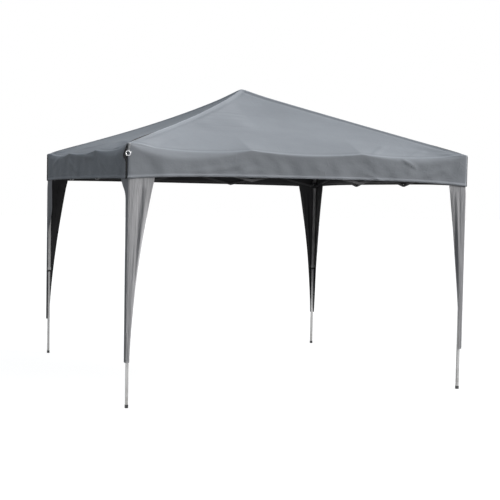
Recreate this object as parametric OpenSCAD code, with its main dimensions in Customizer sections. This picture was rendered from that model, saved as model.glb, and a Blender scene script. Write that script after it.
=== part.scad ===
// Folding canopy shelter on four telescopic legs.
// Twelve crossed bar pairs join the legs, and four jointed ribs carry a hub under the peak.
// Origin: on the ground, at the middle of the plan. +X runs along the front side, +Z is up.
// Corner 0 is front left, and the other corners follow anticlockwise seen from above.

/* [Canopy] */
// Width of the canopy over its valance
canopy_w = 3000; // [2800:10:3400]
// Height of the eave above the ground
eave_z = 2010; // [1900:5:2200]
// Height of the peak above the eave
roof_rise = 600; // [500:10:700]
// Depth of the valance below the eave
valance_h = 265; // [150:5:320]
// Thickness of the cloth
cloth_t = 1.2; // [0.8:0.1:2.5]

/* [Leg covers] */
// Width of each cover wing at its top
cover_top_w = 200; // [120:5:260]
// Width of each cover wing at its bottom
cover_foot_w = 30; // [20:1:60]
// Height of the lower end of the cover
cover_foot_z = 350; // [200:10:600]
// Height of the tie that holds the cover to the outer tube
tie_h = 25; // [15:1:40]
// Length of cover that is sewn behind the valance
cover_lap = 30; // [10:1:60]

/* [Legs] */
// Distance from the edge of the canopy to the axis of a leg
leg_inset = 25; // [24:0.5:40]
// Width of the outer leg tube
outer_w = 25; // [22:0.5:30]
// Wall of the outer leg tube
outer_wall = 1.1; // [0.8:0.1:1.4]
// Length of the outer leg tube
outer_len = 1165; // [1120:5:1250]
// Width of the inner leg tube
inner_w = 20; // [16:0.5:20]
// Wall of the inner leg tube
inner_wall = 0.9; // [0.7:0.1:1.5]
// Length of the inner leg that stays inside the outer tube
inner_lap = 220; // [120:5:260]
// Height of the cap on the end of the inner leg
foot_h = 26; // [15:1:40]
// Width by which that cap stands out from the inner leg, both sides together
foot_lip = 3; // [1:0.5:6]
// Height of the collar at the bottom of the outer tube
collar_h = 45; // [30:1:60]
// Wall of that collar
collar_wall = 3.5; // [2:0.5:5]
// Length of the collar below the outer tube
collar_drop = 8; // [4:1:15]
// Length of the guide on the top of the inner leg
guide_h = 20; // [10:1:40]

/* [Crossed bars] */
// Height of a crossed pair between its end pivots
truss_h = 215; // [180:5:260]
// Distance from the axis of a leg to the pivots on it
pivot_out = 45; // [43:0.5:60]
// Height of a flat bar
bar_h = 19; // [14:0.5:21]
// Thickness of a flat bar
bar_t = 8; // [6:0.5:9]
// Wall of a flat bar
bar_wall = 0.8; // [0.6:0.1:1.5]
// Gap between two bars that cross
bar_gap = 1.2; // [0.8:0.1:3]

/* [Roof ribs] */
// Width of a roof rib
rib_w = 14; // [10:0.5:16]
// Height of a roof rib
rib_h = 20; // [16:0.5:22]
// Wall of a roof rib
rib_wall = 0.9; // [0.7:0.1:1.5]
// Length of the lower rib between its pivots
lower_rib_l = 1110; // [950:5:1150]
// Angle by which the lower rib falls from the leg
lower_rib_fall = 0.7; // [0:0.1:6]
// Height of the rib pivots on the hub above those on the legs
hub_rise = 575; // [500:5:600]
// Diagonal distance from the axis of a leg to the rib pivot
rib_out = 92; // [88:0.5:105]
// Distance from the middle of the hub to a rib pivot
hub_out = 40; // [38:0.5:60]

/* [Struts] */
// Width of a strut
strut_w = 12; // [8:0.5:14]
// Height of a strut
strut_h = 16; // [12:0.5:18]
// Distance along the lower rib from its pivot to the strut pin
strut_at = 396; // [350:1:450]
// Distance of the strut pin below the axis of the rib
strut_drop = 40; // [30:1:48]
// Diagonal distance from the axis of a leg to the strut pivot on the slider
strut_out = 27; // [27:0.5:34]
// Height of the strut pivot above the bar pivots of the slider
strut_up = 100; // [80:1:110]
// Extra radius of the open eye at the upper end of a strut
eye_slack = 5; // [4.8:0.1:7]

/* [Brackets] */
// Gap between the eave and the top of the bracket on a leg
head_gap = 2; // [1:0.5:6]
// Height of the bracket on a leg
bracket_h = 68; // [66:1:90]
// Distance of the bar pivots below the top of the bracket
pivot_drop = 40; // [36:1:50]
// Distance of the rib pivot below the bar pivots
rib_drop = 12; // [8:1:20]
// Thickness of the bracket over the end of the tube
bracket_cap_t = 6; // [3:1:10]
// Radius of the round end of a fork
fork_r = 13; // [12.5:0.5:15]
// Length of a slider's sleeve below the bar pivots
slider_skirt = 24; // [16:1:30]
// Thickness of the lugs of a strut
lug_t = 7; // [5:0.5:7]
// Radius of the round end of a lug
lug_r = 10; // [8:0.5:12]
// Wall of the bracket on the leg and of the slider
bracket_wall = 4.4; // [3:0.1:5]
// Height of the sleeve of a slider
slider_h = 62; // [56:1:70]
// Thickness of a bracket cheek
cheek_t = 3.6; // [2.5:0.1:5]
// Radius of a hinge pin
pin_r = 3; // [2:0.1:3.5]
// Thickness of a pin head
head_t = 1.6; // [1:0.1:2]
// Radius of a pin head
head_r = 6; // [5:0.1:7]

/* [Lock pins] */
// Height of a lock pin above the bar pivots of its slider
lock_z = 24; // [20:1:30]
// Distance of a lock pin from the middle of the tube face
lock_x = 7; // [6.5:0.5:8]
// Radius of a pull knob and of the boss below it
knob_r = 5; // [4:0.5:5.5]
// Length of a pull knob
knob_l = 10; // [8:1:16]
// Height of the boss that guides a lock pin
boss_h = 5; // [3:1:8]

/* [Hub] */
// Radius of the round body of the hub
hub_body_r = 26; // [24:1:28]
// Radius of the stem of the peak cap
stem_r = 11; // [8:1:16]
// Radius of the peak cap
cap_r = 45; // [30:1:60]
// Radius of the flat top of the peak cap
cap_top_r = 12; // [8:1:20]
// Height of the edge of the peak cap
cap_edge_h = 10; // [5:1:16]

/* [Clearances] */
// Radial clearance between a pin and its bore
pin_gap = 0.1; // [0.05:0.01:0.1]
// Gap between pieces that turn or slide past each other
slide_gap = 0.4; // [0.3:0.05:0.8]

/* [Hidden] */
CORNERS = ["front_left", "front_right", "back_right", "back_left"];
SIDES = ["front", "right", "back", "left"];
PANELS = [1, 2, 3];
$fn = 48;

steel = "silver";
dark = "dimgray";

// Plan and heights
roof_slope = roof_rise / (canopy_w / 2);
leg_half = canopy_w / 2 - leg_inset;
bracket_top_z = eave_z - head_gap;
bar_pivot_z = bracket_top_z - pivot_drop;
rib_pivot_z = bar_pivot_z - rib_drop;
hub_pivot_z = rib_pivot_z + hub_rise;
slider_z = bar_pivot_z - truss_h;
outer_top_z = bracket_top_z - bracket_cap_t;
outer_bottom_z = outer_top_z - outer_len;

// Crossed bars: three panels on each side
panel_w = (2 * leg_half - 2 * pivot_out) / len(PANELS);
bar_l = norm([panel_w, truss_h]);
bar_tilt = atan2(truss_h, panel_w);
bar_off = (bar_t + bar_gap) / 2;

// Ribs, in the vertical plane through the diagonal of a corner, measured from the leg axis
rib_off = rib_w / 2 + 1;
rib_pivot = [rib_out, rib_pivot_z];
knee = rib_pivot + lower_rib_l * [cos(lower_rib_fall), -sin(lower_rib_fall)];
hub_end = [leg_half * sqrt(2) - hub_out, hub_pivot_z];
upper_rib_l = norm(hub_end - knee);
upper_rib_tilt = atan2(hub_end[1] - knee[1], hub_end[0] - knee[0]);

// Struts, in the same plane
strut_top = rib_pivot
    + strut_at * [cos(lower_rib_fall), -sin(lower_rib_fall)]
    - strut_drop * [sin(lower_rib_fall), cos(lower_rib_fall)];
strut_foot = [strut_out, slider_z + strut_up];
strut_l = norm(strut_top - strut_foot);
strut_tilt = atan2(strut_top[1] - strut_foot[1], strut_top[0] - strut_foot[0]);
strut_off = 1 + strut_w / 2;

// Sleeves round the outer leg
sleeve_bore = outer_w + 2 * slide_gap;
sleeve_w = outer_w + 2 * bracket_wall + 2 * slide_gap;
foot_w = inner_w + foot_lip;
through_l = 2 * (rib_w + strut_w + lug_t + head_t);

module at_corner(c) {
    rotate([0, 0, 90 * c]) translate([-leg_half, -leg_half, 0]) children();
}

// The plane of the ribs of a corner: X runs from the leg axis towards the hub.
module on_diagonal(c) {
    at_corner(c) rotate([0, 0, 45]) children();
}

// The bars of a side: X starts on the first leg axis and +Y points into the shelter.
module at_side(s) {
    rotate([0, 0, 90 * s]) translate([-leg_half, -leg_half, 0]) children();
}

// A round bar along Y, in the middle of the plane Y = 0 unless it is moved.
module cross_bar(r, l) {
    rotate([90, 0, 0]) cylinder(r = r, h = l, center = true);
}

// A pin along Y from y0 to y1 with a head outside each end.
module headed_pin(y0, y1, r = pin_r, far_head_r = head_r) {
    translate([0, (y0 + y1) / 2, 0]) cross_bar(r, y1 - y0 + 0.2);
    translate([0, y0 - head_t / 2, 0]) cross_bar(head_r, head_t);
    translate([0, y1 + head_t / 2, 0]) cross_bar(far_head_r, head_t);
}

// A fork that starts at x0 and holds a bar of thickness t and height h on a pin at x = reach.
module fork(x0, reach, t, h) {
    slot_w = t + 2 * slide_gap;
    fork_w = slot_w + 2 * cheek_t;
    difference() {
        union() {
            translate([x0, -fork_w / 2, -fork_r]) cube([reach - x0, fork_w, 2 * fork_r]);
            translate([reach, 0, 0]) cross_bar(fork_r, fork_w);
        }
        translate([reach - h / 2 - 1.5, -slot_w / 2, -fork_r - 1])
            cube([h + 2 * fork_r, slot_w, 2 * fork_r + 2]);
    }
    translate([reach, 0, 0]) headed_pin(-fork_w / 2, fork_w / 2);
}

// A rectangular tube along X with round closed ends, solid where pins pass through it.
module rib_tube(l, w, h, wall, solid_at) {
    solid_l = 0.75 * h;
    difference() {
        union() {
            translate([0, -w / 2, -h / 2]) cube([l, w, h]);
            for (x = [0, l]) translate([x, 0, 0]) cross_bar(h / 2, w);
        }
        for (i = [1:len(solid_at) - 1])
            translate([solid_at[i - 1] + solid_l, wall - w / 2, wall - h / 2])
                cube([solid_at[i] - solid_at[i - 1] - 2 * solid_l, w - 2 * wall, h - 2 * wall]);
    }
}

module bore_along_y(r) {
    cross_bar(r, through_l);
}

// ---- Crossed bars ----

// A flat bar along X with bores at the places named in bores.
module flat_bar(bores) {
    difference() {
        rib_tube(bar_l, bar_t, bar_h, bar_wall, [0, bar_l / 2, bar_l]);
        for (x = bores) translate([x, 0, 0]) bore_along_y(pin_r + pin_gap);
    }
}

// Falling bars lie on the outer side of the truss and carry the rivets of the crossings.
module falling_bar(s, p) {
    first = p == 1;
    last = p == len(PANELS);
    at_side(s)
        translate([pivot_out + (p - 1) * panel_w, -bar_off, bar_pivot_z])
        rotate([0, bar_tilt, 0])
        color(steel) {
            flat_bar(concat(first ? [0] : [], last ? [bar_l] : []));
            for (x = concat(first ? [] : [0], [bar_l / 2], last ? [] : [bar_l]))
                translate([x, 0, 0]) {
                    headed_pin(-bar_t / 2, 2 * bar_off + bar_t / 2 + slide_gap);
                    translate([0, bar_t / 2 + (bar_gap - slide_gap) / 2, 0])
                        cross_bar(head_r, bar_gap - slide_gap);
                }
        }
}

// Rising bars lie on the inner side and turn on those rivets.
module rising_bar(s, p) {
    at_side(s)
        translate([pivot_out + (p - 1) * panel_w, bar_off, slider_z])
        rotate([0, -bar_tilt, 0])
        color(steel) flat_bar([0, bar_l / 2, bar_l]);
}

// ---- Legs ----

module leg_outer(c) {
    at_corner(c) {
        color(steel) outer_tube();
        color(dark) top_bracket();
    }
}

// Square tube with the hole of the lock, and the collar that guides the inner leg.
module outer_tube() {
    hollow_w = outer_w - 2 * outer_wall;
    collar_w = outer_w + 2 * collar_wall;
    difference() {
        union() {
            translate([-outer_w / 2, -outer_w / 2, outer_bottom_z])
                cube([outer_w, outer_w, outer_len]);
            translate([-collar_w / 2, -collar_w / 2, outer_bottom_z - collar_drop])
                cube([collar_w, collar_w, collar_h]);
        }
        translate([-hollow_w / 2, -hollow_w / 2, outer_bottom_z])
            cube([hollow_w, hollow_w, outer_len + 1]);
        translate([-inner_w / 2 - slide_gap, -inner_w / 2 - slide_gap, outer_bottom_z - collar_drop - 1])
            cube([inner_w + 2 * slide_gap, inner_w + 2 * slide_gap, collar_drop + 2]);
        translate([lock_x, outer_w / 2, slider_z + lock_z]) cross_bar(pin_r + slide_gap, 6);
    }
}

// Bracket on the head of the leg: two forks for bars and one for the lower rib.
module top_bracket() {
    socket_w = outer_w + 0.2;
    bracket_bottom_z = bracket_top_z - bracket_h;
    difference() {
        union() {
            translate([-sleeve_w / 2, -sleeve_w / 2, bracket_bottom_z])
                cube([sleeve_w, sleeve_w, bracket_top_z - bracket_bottom_z]);
            for (turn = [0, 90]) rotate([0, 0, turn])
                translate([0, -bar_off, bar_pivot_z]) fork(outer_w / 2 + 1, pivot_out, bar_t, bar_h);
            rotate([0, 0, 45])
                translate([0, -rib_off, rib_pivot_z]) fork(outer_w / 2 + 4, rib_out, rib_w, rib_h);
        }
        translate([-socket_w / 2, -socket_w / 2, bracket_bottom_z - 1])
            cube([socket_w, socket_w, outer_top_z + 0.1 - bracket_bottom_z + 1]);
    }
}

module leg_inner(c) {
    inner_top_z = outer_bottom_z + inner_lap;
    hollow_w = inner_w - 2 * inner_wall;
    guide_w = outer_w - 2 * outer_wall - 2 * slide_gap;
    at_corner(c) {
        color(steel) difference() {
            union() {
                translate([-inner_w / 2, -inner_w / 2, foot_h])
                    cube([inner_w, inner_w, inner_top_z - foot_h]);
                translate([-guide_w / 2, -guide_w / 2, inner_top_z - guide_h])
                    cube([guide_w, guide_w, guide_h]);
            }
            translate([-hollow_w / 2, -hollow_w / 2, foot_h + 4])
                cube([hollow_w, hollow_w, inner_top_z - foot_h]);
        }
        color(dark) translate([-foot_w / 2, -foot_w / 2, 0]) cube([foot_w, foot_w, foot_h - 0.1]);
    }
}

// Sleeve that runs on the outer leg, with two forks for bars and a lug for the strut.
module slider(c) {
    sleeve_bottom = -slider_skirt;
    at_corner(c) translate([0, 0, slider_z]) color(dark) difference() {
        union() {
            translate([-sleeve_w / 2, -sleeve_w / 2, sleeve_bottom])
                cube([sleeve_w, sleeve_w, slider_h]);
            for (turn = [0, 90]) rotate([0, 0, turn])
                translate([0, bar_off, 0]) fork(outer_w / 2 + 1, pivot_out, bar_t, bar_h);
            rotate([0, 0, 45]) strut_lug();
            translate([lock_x, sleeve_w / 2 + boss_h / 2 - 0.5, lock_z]) cross_bar(knob_r, boss_h + 1);
        }
        translate([-sleeve_bore / 2, -sleeve_bore / 2, sleeve_bottom - 1])
            cube([sleeve_bore, sleeve_bore, strut_up + slider_h]);
        translate([lock_x, sleeve_w / 2, lock_z]) cross_bar(pin_r + pin_gap, 4 * boss_h);
    }
}

// Plate on the inner corner of the slider, with the pin of the strut.
module strut_lug() {
    inner_x = sleeve_bore / sqrt(2) - 4;
    translate([inner_x, 1 - 2 - lug_t, 0])
        cube([strut_out + lug_r - 2 - inner_x, lug_t, strut_up]);
    translate([strut_out, -1 - lug_t / 2, strut_up]) cross_bar(lug_r, lug_t);
    translate([strut_out, 0, strut_up]) headed_pin(-1 - lug_t, 1 + strut_w + slide_gap);
}

// Spring pin with a pull knob that locks the slider on the leg.
module lock_pin(c) {
    tip_y = outer_w / 2 + slide_gap;
    knob_y = sleeve_w / 2 + boss_h + slide_gap;
    at_corner(c) translate([lock_x, 0, slider_z + lock_z]) color("black") {
        translate([0, (tip_y + knob_y) / 2, 0]) cross_bar(pin_r, knob_y - tip_y + 0.2);
        translate([0, knob_y + knob_l / 2, 0]) cross_bar(knob_r, knob_l);
    }
}

// ---- Roof ribs and hub ----

// Lower rib with the knee pin and the lug of the strut.
module rib_lower(c) {
    on_diagonal(c) translate([rib_out, -rib_off, rib_pivot_z])
        rotate([0, lower_rib_fall, 0]) color(steel) {
            difference() {
                rib_tube(lower_rib_l, rib_w, rib_h, rib_wall, [0, strut_at, lower_rib_l]);
                bore_along_y(pin_r + pin_gap);
            }
            translate([lower_rib_l, rib_off, 0])
                headed_pin(-rib_off - rib_w / 2, rib_off + rib_w / 2 + slide_gap);
            translate([strut_at, rib_off, 0]) {
                translate([-lug_r, -1 - lug_t, -strut_drop]) cube([2 * lug_r, lug_t, strut_drop]);
                translate([0, -1 - lug_t / 2, -strut_drop]) cross_bar(lug_r, lug_t);
                translate([0, 0, -strut_drop])
                    headed_pin(-1 - lug_t, 1 + strut_w + slide_gap, pin_r, pin_r + eye_slack + 2.5);
            }
        }
}

module rib_upper(c) {
    hub_play = 1.2;
    on_diagonal(c) translate([knee[0], rib_off, knee[1]])
        rotate([0, -upper_rib_tilt, 0]) color(steel) difference() {
            rib_tube(upper_rib_l, rib_w, rib_h, rib_wall, [0, upper_rib_l]);
            bore_along_y(pin_r + pin_gap);
            translate([upper_rib_l, 0, 0]) bore_along_y(pin_r + (c == 0 ? pin_gap : hub_play));
        }
}

module strut(c) {
    eye_r = pin_r + eye_slack;
    on_diagonal(c) translate([strut_foot[0], strut_off, strut_foot[1]])
        rotate([0, -strut_tilt, 0]) color(steel) difference() {
            union() {
                rib_tube(strut_l, strut_w, strut_h, rib_wall, [0, strut_l]);
                translate([strut_l, 0, 0]) cross_bar(eye_r + 4, strut_w);
            }
            bore_along_y(pin_r + pin_gap);
            translate([strut_l, 0, 0]) bore_along_y(eye_r);
        }
}

// Hub with four forks, and the round cap on its stem that carries the cloth at the peak.
module hub() {
    peak_z = eave_z + roof_rise - cloth_t - slide_gap;
    cap_top_z = peak_z - roof_slope * cap_top_r;
    cap_edge_z = peak_z - roof_slope * cap_r;
    color(dark) {
        translate([0, 0, hub_pivot_z - fork_r]) cylinder(r = hub_body_r, h = 2 * fork_r);
        for (c = [0:3]) rotate([0, 0, 90 * c + 45])
            translate([0, -rib_off, hub_pivot_z]) fork(hub_body_r / 2, hub_out, rib_w, rib_h);
        translate([0, 0, hub_pivot_z]) cylinder(r = stem_r, h = cap_edge_z - hub_pivot_z);
        translate([0, 0, cap_edge_z - cap_edge_h]) cylinder(r = cap_r, h = cap_edge_h);
        translate([0, 0, cap_edge_z])
            cylinder(r1 = cap_r, r2 = cap_top_r, h = cap_top_z - cap_edge_z);
    }
}

// ---- Cloth ----

// Square pyramid with its base at z = 0.
module pyramid(w, h) {
    e = w / 2;
    polyhedron(
        points = [[-e, -e, 0], [e, -e, 0], [e, e, 0], [-e, e, 0], [0, 0, h]],
        faces = [[0, 1, 2, 3], [0, 4, 1], [1, 4, 2], [2, 4, 3], [3, 4, 0]]
    );
}

// Roof of four panels with a straight valance below the eave, open underneath.
module canopy() {
    inner_w2 = canopy_w - 2 * cloth_t;
    color("slategray") difference() {
        union() {
            translate([-canopy_w / 2, -canopy_w / 2, eave_z - valance_h])
                cube([canopy_w, canopy_w, valance_h]);
            translate([0, 0, eave_z]) pyramid(canopy_w, roof_rise);
        }
        translate([-inner_w2 / 2, -inner_w2 / 2, eave_z - valance_h - 1])
            cube([inner_w2, inner_w2, valance_h + 1 - cloth_t * (1 - roof_slope)]);
        translate([0, 0, eave_z - cloth_t * (1 - roof_slope)]) pyramid(inner_w2, roof_slope * inner_w2 / 2);
    }
}

// Two tapering wings round the outside of the leg, held to it by a short tie.
module leg_cover(c) {
    edge = canopy_w / 2 - cloth_t - slide_gap - leg_half;
    top_z = eave_z - valance_h + cover_lap;
    tie_z = outer_bottom_z - collar_drop + collar_h + tie_h;
    at_corner(c) color("gainsboro") {
        for (turn = [0, 1]) mirror([turn, -turn, 0])
            translate([-edge, -edge + cloth_t, 0]) rotate([90, 0, 0]) linear_extrude(cloth_t)
                polygon([[0, cover_foot_z], [cover_foot_w, cover_foot_z],
                         [cover_top_w, top_z - cover_lap], [cover_top_w, top_z], [0, top_z]]);
        translate([-edge + cloth_t / 2, -edge + cloth_t / 2, tie_z])
            cube([edge - slide_gap, edge - outer_w / 2 - slide_gap - cloth_t / 2, tie_h]);
    }
}

canopy();
hub();
for (c = [0:3]) {
    leg_outer(c);
    leg_inner(c);
    slider(c);
    lock_pin(c);
    leg_cover(c);
    rib_lower(c);
    rib_upper(c);
    strut(c);
    for (p = PANELS) {
        falling_bar(c, p);
        rising_bar(c, p);
    }
}
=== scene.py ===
"""A folding shelter on four telescopic legs: cloth roof with valance, leg covers and a crossed-bar frame."""
import math

import bpy
from bpy.props import FloatProperty, FloatVectorProperty, IntProperty, PointerProperty
from mathutils import Matrix, Vector


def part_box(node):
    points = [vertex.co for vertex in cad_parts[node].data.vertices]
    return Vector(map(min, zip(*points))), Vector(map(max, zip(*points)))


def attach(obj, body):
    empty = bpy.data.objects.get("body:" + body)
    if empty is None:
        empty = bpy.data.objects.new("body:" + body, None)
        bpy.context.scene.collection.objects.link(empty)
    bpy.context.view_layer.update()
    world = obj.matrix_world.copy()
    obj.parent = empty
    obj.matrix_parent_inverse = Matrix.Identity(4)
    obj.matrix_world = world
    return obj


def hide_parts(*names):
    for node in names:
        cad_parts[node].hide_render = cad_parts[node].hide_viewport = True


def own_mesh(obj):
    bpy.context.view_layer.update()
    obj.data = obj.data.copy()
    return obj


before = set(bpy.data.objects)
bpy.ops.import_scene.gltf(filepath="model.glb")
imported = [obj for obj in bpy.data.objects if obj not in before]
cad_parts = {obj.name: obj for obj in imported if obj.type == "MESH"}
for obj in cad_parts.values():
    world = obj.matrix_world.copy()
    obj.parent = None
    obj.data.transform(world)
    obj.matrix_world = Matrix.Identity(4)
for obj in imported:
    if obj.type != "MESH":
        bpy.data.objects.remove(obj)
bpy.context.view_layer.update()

bl_info = {
    "name": "Folding shelter",
    "version": (1, 0, 0),
    "blender": (4, 5, 0),
    "location": "View3D > Sidebar > Shelter",
    "description": "Dresses a 3 x 3 m folding shelter with cloth, covers and finishes",
    "category": "Object",
}

CANOPY_LOW, CANOPY_HIGH = (Vector(v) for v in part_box("canopy"))
HALF = CANOPY_HIGH.x  # half of the canopy's width
PEAK_Z = CANOPY_HIGH.z
HEM_Z = CANOPY_LOW.z
EAVE_Z = 2.01  # the eave's usual height
LEG_BOX = [Vector(v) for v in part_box("leg_outer_front_right")]
CORNERS = {"front_left": (-1, -1), "front_right": (1, -1), "back_right": (1, 1), "back_left": (-1, 1)}


# ---------------------------------------------------------------- sizes and colours

class ShelterCloth(bpy.types.PropertyGroup):
    """Sizes of the roof cloth"""
    eave_z: FloatProperty(name="Eave", description="Height of the line where the roof turns into the valance",
                          default=EAVE_Z, unit="LENGTH")
    hem: FloatProperty(name="Hem", description="Height of the folded hem", default=0.016, unit="LENGTH")
    roof_sag: FloatProperty(name="Roof sag", description="How far the middle of a roof panel hangs below its ribs",
                            default=0.030, unit="LENGTH")
    thickness: FloatProperty(name="Fold thickness", description="How far a folded hem stands proud",
                             default=0.0010, unit="LENGTH")
    folds: FloatProperty(name="Folds", description="Height of the soft folds in the cloth",
                         default=0.002, unit="LENGTH")
    steps: IntProperty(name="Steps", description="Mesh steps from a corner to the middle of a side", default=100)
    turns: IntProperty(name="Turns", description="Mesh steps round a corner of the roof", default=96)
    gores: IntProperty(name="Gores", description="Gores from each corner, which gather when the frame folds",
                       default=16)
    cap: FloatProperty(name="Cap", description="Width of the cloth over each leg that stays flat when folded",
                       default=0.180, unit="LENGTH")
    gather: FloatProperty(name="Gather", description="Share of its length that the gathered cloth keeps",
                          default=0.055, min=0.02, max=1)


class ShelterCovers(bpy.types.PropertyGroup):
    """Sizes of the leg covers"""
    foot_z: FloatProperty(name="Foot", description="Height of the lower end of a cover", default=0.35, unit="LENGTH")
    foot_width: FloatProperty(name="Foot width", description="Width of a wing at its lower end",
                              default=0.034, unit="LENGTH")
    lap: FloatProperty(name="Lap", description="Length of cover sewn behind the valance", default=0.03, unit="LENGTH")


class ShelterColours(bpy.types.PropertyGroup):
    """Colours of the cloth, the tubes and the plastic"""
    canopy: FloatVectorProperty(name="Canopy", description="Colour of the roof cloth", subtype="COLOR",
                                default=(0.335, 0.355, 0.386), size=3, min=0, max=1)
    cover: FloatVectorProperty(name="Covers", description="Colour of the leg covers", subtype="COLOR",
                               default=(0.480, 0.480, 0.495), size=3, min=0, max=1)
    steel: FloatVectorProperty(name="Tubes", description="Colour of the coated tubes", subtype="COLOR",
                               default=(0.60, 0.60, 0.60), size=3, min=0, max=1)
    # the bars' near-black colour is a painted shade, for the shade they hang in under the roof
    bars: FloatVectorProperty(name="Bars", description="Colour of the coated bars and ribs", subtype="COLOR",
                              default=(0.050, 0.050, 0.053), size=3, min=0, max=1)
    plastic: FloatVectorProperty(name="Plastic", description="Colour of brackets and sliders", subtype="COLOR",
                                 default=(0.030, 0.031, 0.033), size=3, min=0, max=1)
    lining: FloatVectorProperty(name="Lining", description="Colour of the coating on the cloth's inner side",
                                subtype="COLOR", default=(0.030, 0.030, 0.032), size=3, min=0, max=1)
    ring: FloatVectorProperty(name="Ring", description="Colour of the corner rings", subtype="COLOR",
                              default=(0.78, 0.78, 0.79), size=3, min=0, max=1)


class ShelterView(bpy.types.PropertyGroup):
    """The camera"""
    place: FloatVectorProperty(name="Place", description="Where the camera stands", subtype="TRANSLATION",
                               default=(-3.687, -9.364, 1.639), size=3)
    turn: FloatProperty(name="Turn", description="Turn to the right of straight ahead", default=0.3859,
                        unit="ROTATION")
    down: FloatProperty(name="Down", description="Tilt below the horizon", default=0.0509, unit="ROTATION")
    roll: FloatProperty(name="Roll", description="Roll about the line of sight", default=0.019, unit="ROTATION")
    lens: FloatProperty(name="Lens", description="Focal length in millimetres", default=77.55)


# ---------------------------------------------------------------- shader maths

def plug(tree, place, value):
    """Link a wire to a socket, or write a value in it"""
    if isinstance(value, Wire):
        tree.links.new(value.socket, place)
    else:
        place.default_value = value


class Wire:
    """An output socket that can be used in sums"""

    def __init__(self, tree, socket):
        self.tree, self.socket = tree, socket

    def maths(self, operation, *values, clamp=False):
        node = self.tree.nodes.new("ShaderNodeMath")
        node.operation, node.use_clamp = operation, clamp
        for place, value in zip(node.inputs, values):
            plug(self.tree, place, value)
        return Wire(self.tree, node.outputs[0])

    def __add__(self, other): return self.maths("ADD", self, other)
    def __radd__(self, other): return self.maths("ADD", other, self)
    def __sub__(self, other): return self.maths("SUBTRACT", self, other)
    def __rsub__(self, other): return self.maths("SUBTRACT", other, self)
    def __mul__(self, other): return self.maths("MULTIPLY", self, other)
    def __rmul__(self, other): return self.maths("MULTIPLY", other, self)
    def __truediv__(self, other): return self.maths("DIVIDE", self, other)
    def __rtruediv__(self, other): return self.maths("DIVIDE", other, self)
    def __abs__(self): return self.maths("ABSOLUTE", self)
    def __neg__(self): return self.maths("MULTIPLY", self, -1.0)
    def sine(self): return self.maths("SINE", self)
    def part(self): return self.maths("FRACT", self)
    def top(self, other): return self.maths("MAXIMUM", self, other)
    def low(self, other): return self.maths("MINIMUM", self, other)

    def step(self, start, end):
        """0 before start, 1 after end, smooth between them"""
        t = self.maths("MULTIPLY", self - start, 1.0 / (end - start), clamp=True)
        return t * t * (3.0 - 2.0 * t)


class Nodes:
    """The nodes of one material or world"""

    def __init__(self, tree):
        self.tree, self.coordinate = tree, None
        tree.nodes.clear()

    def add(self, kind, settings=None, **sockets):
        """A node of a kind, with its settings made first and then the values or links of its sockets"""
        node = self.tree.nodes.new(kind)
        for key, value in (settings or {}).items():
            setattr(node, key, value)
        for key, value in sockets.items():
            by_number = key[0] == "i" and key[1:].isdigit()
            plug(self.tree, node.inputs[int(key[1:]) if by_number else key.replace("_", " ")], value)
        return node

    def wire(self, node, name=0):
        return Wire(self.tree, node.outputs[name])

    def split(self, vector):
        node = self.add("ShaderNodeSeparateXYZ", Vector=vector)
        return [self.wire(node, i) for i in range(3)]

    def place(self, name):
        """A texture coordinate, from one node"""
        if self.coordinate is None:
            self.coordinate = self.add("ShaderNodeTexCoord")
        return self.wire(self.coordinate, name)

    def mix(self, factor, first, second):
        """A colour between two"""
        node = self.add("ShaderNodeMix", {"data_type": "RGBA"}, i0=factor)
        for i, value in ((6, first), (7, second)):
            plug(self.tree, node.inputs[i], value if isinstance(value, Wire) else (*value[:3], 1.0))
        return self.wire(node, 2)

    def seen(self):
        """1 for what the camera sees, straight or in gloss or glass, 0 for what lights the shelter"""
        path = self.add("ShaderNodeLightPath")
        return self.wire(path, "Is Camera Ray").top(self.wire(path, "Is Glossy Ray")).top(
            self.wire(path, "Is Transmission Ray"))

    def noise(self, scale, detail=2.0, rough=0.5, by=None):
        """Noise over the piece, or over its place multiplied by a vector, which draws it out"""
        at = self.place("Object")
        if by:
            at = self.wire(self.add("ShaderNodeVectorMath", {"operation": "MULTIPLY"}, i0=at, i1=by))
        return self.wire(self.add("ShaderNodeTexNoise", Vector=at, Scale=scale, Detail=detail, Roughness=rough), "Fac")

    def coats(self, base, first, *layers):
        """The base colour shaded by first, then shaded by each layer's number where its mask is"""
        tone = shade(base, first)
        for mask, by in layers:
            tone = self.mix(mask, tone, shade(base, by))
        return tone

    def bump(self, height):
        """A Bump node whose height is in millimetres"""
        return self.wire(self.add("ShaderNodeBump", Height=height, Distance=0.001, Strength=1.0))


class Finish(Nodes):
    """A material and its nodes"""

    def __init__(self, name):
        self.material = bpy.data.materials.new(name)
        self.material.use_nodes = True
        super().__init__(self.material.node_tree)
        self.shader = self.add("ShaderNodeBsdfPrincipled")
        self.output = self.add("ShaderNodeOutputMaterial", Surface=self.wire(self.shader))

    def set(self, **sockets):
        for key, value in sockets.items():
            plug(self.tree, self.shader.inputs[key.replace("_", " ")], value)


def shade(colour, by):
    """A colour made darker or lighter"""
    return tuple(max(0.0, min(1.0, c * by)) for c in colour[:3])


# ---------------------------------------------------------------- finishes

WEAVE, STITCH, THREAD = 0.0022, 0.0042, 0.0011  # pitch of the weave and of a seam's stitches, width of a thread
EAVE_JOIN = 0.034  # the stitched join on the roof, up from the eave


def woven(across, along):
    """Height of a plain weave over two lengths in metres"""
    turn = 2 * math.pi / WEAVE
    warp, weft = (across * turn).sine(), (along * turn).sine()
    checker = (across * (turn / 2)).sine() * (along * (turn / 2)).sine()
    return warp * 0.5 + weft * 0.5 + checker * 0.6


def stitches(off, run, at):
    """A row of stitches at a distance from an edge, running along it"""
    near = 1.0 - abs(off - at).step(THREAD / 2, THREAD)
    dash = (run * (2 * math.pi / STITCH)).sine().step(-0.3, 0.3)
    return near * dash


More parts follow.
